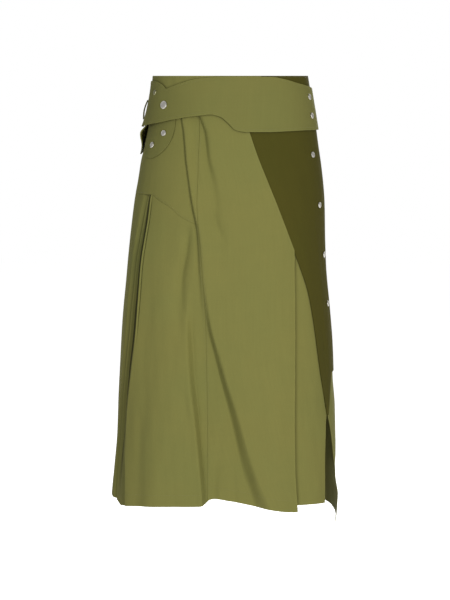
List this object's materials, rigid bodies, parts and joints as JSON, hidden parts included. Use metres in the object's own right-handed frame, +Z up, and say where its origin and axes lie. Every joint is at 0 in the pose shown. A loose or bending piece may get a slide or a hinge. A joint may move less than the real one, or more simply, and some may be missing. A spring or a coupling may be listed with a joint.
{
  "type": "pleated midi skirt",
  "caption": "Flared midi skirt with a slanted wrap belt, knife pleats, a contrast side-front panel that ends in a point, a snap placket and an open side slit.",
  "frame": {"origin": "centre of the waist opening, at the waistband's upper edge", "axes": "+Z up, the skirt hangs down from the waist along -Z; the front faces -Y; +X is the side with the dark panel and the slit"},
  "size_m": [0.403, 0.3317, 0.7992],
  "materials": {
    "light_cloth": "smooth matt olive cotton twill",
    "dark_cloth": "smooth matt dark olive cotton twill",
    "belt_cloth": "smooth matt olive cotton twill, two layers, pressed",
    "snap_cover": "cloth-covered snap cap",
    "snap_steel": "satin nickel"
  },
  "bodies": {
    "root": {"waistband_front": "light_cloth", "waistband_side": "dark_cloth", "waistband_back": "light_cloth", "yoke_left": "light_cloth", "yoke_back": "light_cloth", "panel_front_left": "light_cloth", "panel_front_centre": "light_cloth", "pleat_underlay": "light_cloth", "panel_front_dark": "dark_cloth", "panel_side_dark": "dark_cloth", "panel_side_right": "light_cloth", "panel_back_right": "light_cloth", "panel_side_left": "light_cloth", "panel_back_left": "light_cloth", "belt_front": "belt_cloth", "belt_back": "belt_cloth", "hip_tab": "belt_cloth", "side_loop": "belt_cloth", "snap_belt_large": "snap_steel", "snap_belt_covered": "snap_cover", "snap_tab_upper": "snap_steel", "snap_tab_lower": "snap_steel", "snap_belt_side_upper": "snap_steel", "snap_belt_side_lower": "snap_steel", "snap_placket_1": "snap_steel", "snap_placket_2": "snap_steel", "snap_placket_3": "snap_steel", "snap_placket_4": "snap_steel"}
  },
  "joints": []
}
